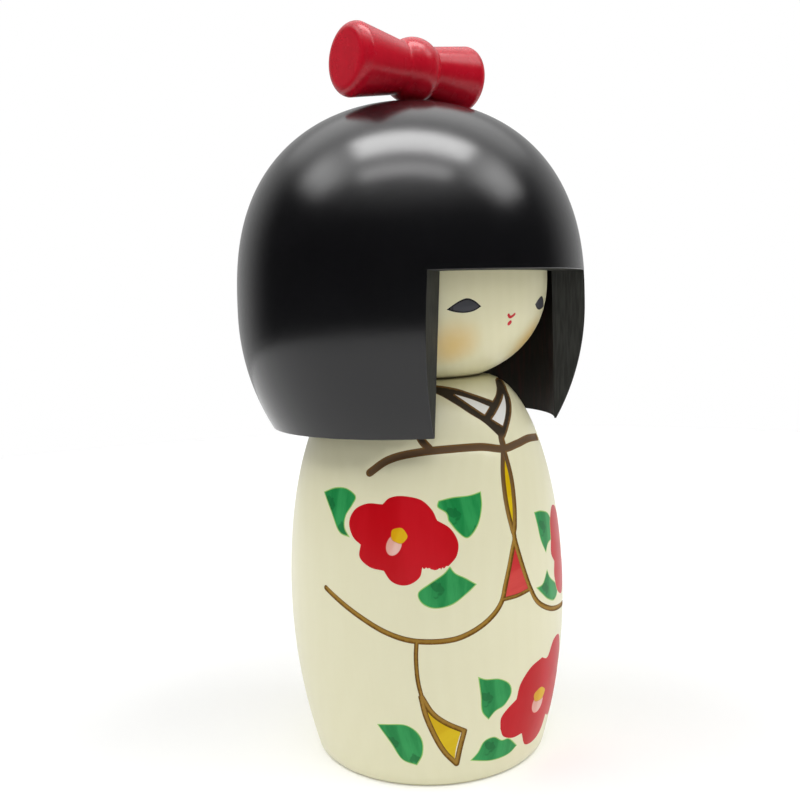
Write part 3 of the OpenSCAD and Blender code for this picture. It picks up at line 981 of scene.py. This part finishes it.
# Saw marks run up the sawn faces.
sawn, tree, shader = lacquered("sawn face stain", 0.6, 0.15, 0.0, 0.1, 0.25)
marks = noise(tree, drawn_out(tree, on_piece(tree), 0.06), 2400.0, 4.0)["Fac"]
colour = blend(tree, ramp(tree, marks, 0.35, 0.7), rgb(0.015, 0.015, 0.012),
               rgb(0.028, 0.029, 0.024))
tree.links.new(colour, shader.inputs["Base Color"])
bumped(tree, shader, marks, 0.5, 0.00015)

bore_stain, tree, shader = lacquered("bore stain", 0.7, 0.15, 0.0, 0.2, 0.3)
marks = noise(tree, drawn_out(tree, on_piece(tree), 0.15), 700.0, 4.0)["Fac"]
colour = blend(tree, ramp(tree, marks, 0.45, 0.7), rgb(0.010, 0.007, 0.005),
               rgb(0.030, 0.007, 0.006))
tree.links.new(colour, shader.inputs["Base Color"])
for material in (black, sawn, bore_stain):
    hair_mesh.materials.append(material)
hair = placed("Hair_cap", hair_mesh)
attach(hair, "head_group")
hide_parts("hair_cap")

# ------------------------------------------------------------------ Bow
# One turned spindle with two flared ends and a knot, lacquered red. It lies
# across the crown on a peg that comes up through the hair cap.

BOW_Z = 142.9
BOW_TURN = math.radians(-6)
BOW_TILT = math.radians(2)


class Formula:
    """A number in a node tree, written out as arithmetic."""

    def __init__(self, tree, socket):
        self.tree = tree
        self.socket = socket

    def _do(self, operation, *others):
        values = [self.socket] + [o.socket if isinstance(o, Formula) else o for o in others]
        return Formula(self.tree, number(self.tree, operation, *values))

    def __add__(self, other):
        return self._do("ADD", other)

    def __sub__(self, other):
        return self._do("SUBTRACT", other)

    def __mul__(self, other):
        return self._do("MULTIPLY", other)

    def __truediv__(self, other):
        return self._do("DIVIDE", other)

    def __getattr__(self, word):
        return lambda *others: self._do(word.upper(), *others)


spindle = bpy.data.node_groups.new("turned bow", "GeometryNodeTree")
spindle.interface.new_socket("Geometry", in_out="OUTPUT", socket_type="NodeSocketGeometry")
bow_sizes = {"Near Length": 16.6, "Far Length": 15.4, "Near End Radius": 7.3, "Far End Radius": 6.9,
             "Neck Radius": 5.3, "Knot Radius": 6.6, "Knot Half Width": 3.6, "Rim Rounding": 2.2}
bow_steps = {"Steps Along": 200, "Steps Around": 96}
sockets = {}
for kind, values in (("NodeSocketFloat", bow_sizes), ("NodeSocketInt", bow_steps)):
    for key, value in values.items():
        socket = spindle.interface.new_socket(key, in_out="INPUT", socket_type=kind)
        socket.default_value = value
        sockets[key] = socket.identifier
socket = spindle.interface.new_socket("Lacquer", in_out="INPUT", socket_type="NodeSocketMaterial")
sockets["Lacquer"] = socket.identifier
given = spindle.nodes.new("NodeGroupInput").outputs
made = spindle.nodes.new("NodeGroupOutput").inputs
grid = wire(spindle, "GeometryNodeMeshGrid", {"Size X": 1.0, "Size Y": 1.0,
                                              "Vertices X": given["Steps Along"],
                                              "Vertices Y": given["Steps Around"]})
spot = wire(spindle, "GeometryNodeInputPosition").outputs[0]
spot = wire(spindle, "ShaderNodeSeparateXYZ", {0: spot}).outputs
near, far, near_end_r, far_end_r, neck_r, knot_r, knot_half, rounding = (
    Formula(spindle, given[key]) for key in bow_sizes)

# The grid is rolled into the spindle. A small share of it at each side closes
# an end; the rest follows the cones, their rounded rims and the knot's barrel.
END_SHARE = 0.08
along = Formula(spindle, spot["X"]) + 0.5
turn = (Formula(spindle, spot["Y"]) + 0.5) * (2 * math.pi)
sweep = ((along - END_SHARE) / (1 - 2 * END_SHARE)).maximum(0.0).minimum(1.0)
x = (far - near) / 2.0 - (far + near) / 2.0 * (sweep * math.pi).cosine()
half = near + (far - near) * x.greater_than(0.0)
end_r = near_end_r + (far_end_r - near_end_r) * x.greater_than(0.0)
reach = x.absolute()
flare = (reach - knot_half) / (half - rounding - knot_half)
cone = neck_r + (end_r - neck_r) * flare.maximum(0.0).minimum(1.0)
past = (reach - (half - rounding)).maximum(0.0).minimum(rounding)
cone = cone - rounding + (rounding * rounding - past * past).maximum(0.0).sqrt()
step = knot_r - neck_r
barrel_arc = (step * step + knot_half * knot_half) / (step * 2.0)
barrel_r = knot_r - barrel_arc + (barrel_arc * barrel_arc - reach * reach).maximum(0.0).sqrt()
radius = cone.maximum(barrel_r * reach.less_than(knot_half))
radius = radius * (along / END_SHARE).minimum(1.0)
radius = radius * ((Formula(spindle, spot["X"]) * -1.0 + 0.5) / END_SHARE).minimum(1.0)
target = wire(spindle, "ShaderNodeCombineXYZ", {0: (x * MM).socket,
                                                1: (radius * turn.cosine() * MM).socket,
                                                2: (radius * turn.sine() * MM).socket})
moved = wire(spindle, "GeometryNodeSetPosition", {"Geometry": grid.outputs["Mesh"],
                                                  "Position": target.outputs[0]})
welded = wire(spindle, "GeometryNodeMergeByDistance", {"Geometry": moved.outputs[0],
                                                       "Distance": 0.000002})
realized = wire(spindle, "GeometryNodeRealizeInstances", {0: welded.outputs[0]})
coated = wire(spindle, "GeometryNodeSetMaterial", {"Geometry": realized.outputs[0],
                                                   "Material": given["Lacquer"]})
spindle.links.new(coated.outputs[0], made[0])

bow_red, tree, shader = lacquered("red lacquer", 0.27, 0.08, 0.05, 0.03, 0.3)
colour = grained(tree, 0.0, 1.0, rgb(0.64, 0.008, 0.026), rgb(0.52, 0.004, 0.018))
tree.links.new(colour, shader.inputs["Base Color"])

maker = placed("bow maker", bpy.data.meshes.new("bow maker"))
modifier = maker.modifiers.new("turned bow", "NODES")
modifier.node_group = spindle
for key, value in {**bow_sizes, **bow_steps}.items():
    modifier[sockets[key]] = value
modifier[sockets["Lacquer"]] = bow_red
bpy.context.view_layer.update()
evaluated = maker.evaluated_get(bpy.context.evaluated_depsgraph_get())
bow_mesh = bpy.data.meshes.new_from_object(evaluated)
bpy.data.objects.remove(maker)
bow_mesh.name = "Bow"
bow_mesh.transform(Matrix.Translation((0, 0, BOW_Z * MM)) @ Matrix.Rotation(BOW_TURN, 4, "Z")
                   @ Matrix.Rotation(BOW_TILT, 4, "Y"))
bow_mesh.polygons.foreach_set("use_smooth", [True] * len(bow_mesh.polygons))
finished(bow_mesh, sharp_degrees=60)
bow = placed("Bow", bow_mesh)
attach(bow, "head_group")
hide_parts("bow")

# ------------------------------------------------------------------ Studio
# White table and white backdrop in a dim room. A curved bank of soft light
# hangs over the front, boxes of light overhead show in the lacquer, and three
# soft lamps, which the lacquer doesn't mirror, light the sides of the doll.

TABLE_R = 0.5
TABLE_SIDES = 96
FRONT_WAY = (-0.707, -0.707)
floor_mesh = bpy.data.meshes.new("Floor")
circle = [(TABLE_R * math.cos(t), TABLE_R * math.sin(t), 0)
          for t in np.linspace(0, 2 * math.pi, TABLE_SIDES, endpoint=False)]
floor_mesh.from_pydata(circle, [], [tuple(range(TABLE_SIDES))])
paper = bpy.data.materials.new("floor paper")
paper.use_nodes = True
tree = paper.node_tree
shader = tree.nodes["Principled BSDF"]
mottle = noise(tree, on_piece(tree), 12.0, 2.0)["Fac"]
tree.links.new(blend(tree, mottle, rgb(0.94, 0.94, 0.94), rgb(0.92, 0.92, 0.92)),
               shader.inputs["Base Color"])
shader.inputs["Roughness"].default_value = 0.9
shader.inputs["Specular IOR Level"].default_value = 0.1
shader.inputs["Emission Color"].default_value = rgb(1, 1, 1)
shader.inputs["Emission Strength"].default_value = 0.1
floor_mesh.materials.append(paper)
floor = placed("Floor", floor_mesh)

# Directions in the room: how far each points to the front, to the side, up.
world = bpy.data.worlds.new("Studio")
world.use_nodes = True
bpy.context.scene.world = world
tree = world.node_tree
toward = wire(tree, "ShaderNodeTexCoord").outputs["Generated"]
axes = wire(tree, "ShaderNodeSeparateXYZ", {0: toward}).outputs
up = axes[2]
ahead = number(tree, "MULTIPLY_ADD", axes[0], FRONT_WAY[0],
               number(tree, "MULTIPLY", axes[1], FRONT_WAY[1]))
aside = number(tree, "MULTIPLY_ADD", axes[0], -FRONT_WAY[1],
               number(tree, "MULTIPLY", axes[1], FRONT_WAY[0]))
level = number(tree, "SQRT", number(tree, "MULTIPLY_ADD", axes[0], axes[0],
                                    number(tree, "MULTIPLY", axes[1], axes[1])))
facing = number(tree, "DIVIDE", ahead, level)

# The bank dips towards the front; the backdrop stands behind the doll.
BANK_LIGHT = 3.3
BACKDROP_LIGHT = 0.85
ROOM_LIGHT = 0.05
dip = number(tree, "MULTIPLY_ADD", facing, -0.16, up)
bank = number(tree, "MULTIPLY", ramp(tree, dip, 0.56, 0.69), ramp(tree, up, 0.93, 0.985, 1.0, 0.0))
bank = number(tree, "MULTIPLY", bank, ramp(tree, facing, -0.6, -0.15))
backdrop = number(tree, "MULTIPLY", ramp(tree, facing, -0.15, -0.75), ramp(tree, up, 0.95, 0.5))
cast = number(tree, "MULTIPLY_ADD", backdrop, BACKDROP_LIGHT, ROOM_LIGHT)
cast = number(tree, "MULTIPLY_ADD", bank, BANK_LIGHT, cast)

# What the lacquer mirrors: boxes of light overhead, each given by its sides,
# its back and front on a level one unit up, its softness and its strength.
MIRRORED_BACKDROP = 0.55
MIRRORED_ROOM = 0.02
OVERHEAD_HAZE = 1.1
LIGHT_BOXES = (
    (-0.42, 0.57, -0.16, 0.20, 0.07, 9.8),
    (-0.50, 0.50, 0.40, 0.60, 0.07, 5.5),
    (-1.15, -0.62, -0.20, 0.40, 0.22, 3.0),
    (0.75, 1.55, -0.20, 0.40, 0.22, 3.6),
    (-1.25, 1.50, -0.10, 0.45, 0.20, 1.0),
    (-1.00, 1.00, -1.20, -0.45, 0.20, 0.6),
)
rise = number(tree, "MAXIMUM", up, 0.01)
across = number(tree, "DIVIDE", aside, rise)
deep = number(tree, "DIVIDE", ahead, rise)
mirrored = number(tree, "MULTIPLY_ADD", backdrop, MIRRORED_BACKDROP, MIRRORED_ROOM)
mirrored = number(tree, "ADD", mirrored, ramp(tree, up, 0.5, 0.9, 0.0, OVERHEAD_HAZE))
for left, right, back, front, soft, strength in LIGHT_BOXES:
    box = strength
    for place, low, high in ((across, left, right), (deep, back, front)):
        box = number(tree, "MULTIPLY", box, ramp(tree, place, low - soft, low + soft))
        box = number(tree, "MULTIPLY", box, ramp(tree, place, high - soft, high + soft, 1.0, 0.0))
    mirrored = number(tree, "ADD", mirrored, box)
path = wire(tree, "ShaderNodeLightPath").outputs
glow = wire(tree, "ShaderNodeMix", {0: path["Is Glossy Ray"], 2: cast, 3: mirrored}).outputs[0]
glow = wire(tree, "ShaderNodeMix", {0: path["Is Camera Ray"], 2: glow, 3: 1.0}).outputs[0]
background = tree.nodes["Background"]
background.inputs["Color"].default_value = rgb(1, 1, 1)
tree.links.new(glow, background.inputs["Strength"])
bpy.context.scene.view_settings.view_transform = "Standard"

# Square lamps around the doll, as degrees from the front and up, side, power.
LAMP_AWAY = 1.5
LAMP_AIM = Vector((0, 0, 0.07))
for name, azimuth, elevation, side, power in (("Fill", -50, 14, 0.9, 2.2),
                                              ("Right side", 35, 12, 0.8, 3.0),
                                              ("Left side", -125, 12, 0.8, 1.7)):
    lamp = bpy.data.lights.new(name, "AREA")
    lamp.shape = "SQUARE"
    lamp.size = side
    lamp.energy = power
    a, e = math.radians(azimuth), math.radians(elevation)
    way = Vector((math.sin(a) * math.cos(e), -math.cos(a) * math.cos(e), math.sin(e)))
    lit = placed(name, lamp)
    lit.location = LAMP_AIM + LAMP_AWAY * way
    lit.rotation_euler = (-way).to_track_quat("-Z", "Y").to_euler()
    lit.visible_glossy = False

# ------------------------------------------------------------------ Camera
# Stands in front of the doll's right shoulder, a little above its middle, and
# looks slightly down. Distances are in metres and turns in degrees.

VIEW_AZIMUTH = -43.5
CAMERA_AWAY = 0.2004
CAMERA_HEIGHT = 0.0949
PITCH_DOWN = 5.87
PAN_LEFT = 1.30
ROLL = 1.845
LENS = 42.15

camera_data = bpy.data.cameras.new("Camera")
camera_data.sensor_width = 36.0
camera_data.lens = LENS
camera_data.clip_start = 0.01
camera = placed("Camera", camera_data)
a = math.radians(VIEW_AZIMUTH)
spot = Matrix.Translation((CAMERA_AWAY * math.sin(a), -CAMERA_AWAY * math.cos(a), CAMERA_HEIGHT))
camera.matrix_world = (spot @ Matrix.Rotation(math.radians(VIEW_AZIMUTH + PAN_LEFT), 4, "Z")
                       @ Matrix.Rotation(math.radians(-PITCH_DOWN), 4, "X")
                       @ Matrix.Rotation(math.radians(ROLL), 4, "Y")
                       @ Matrix.Rotation(math.pi / 2, 4, "X"))
bpy.context.scene.camera = camera
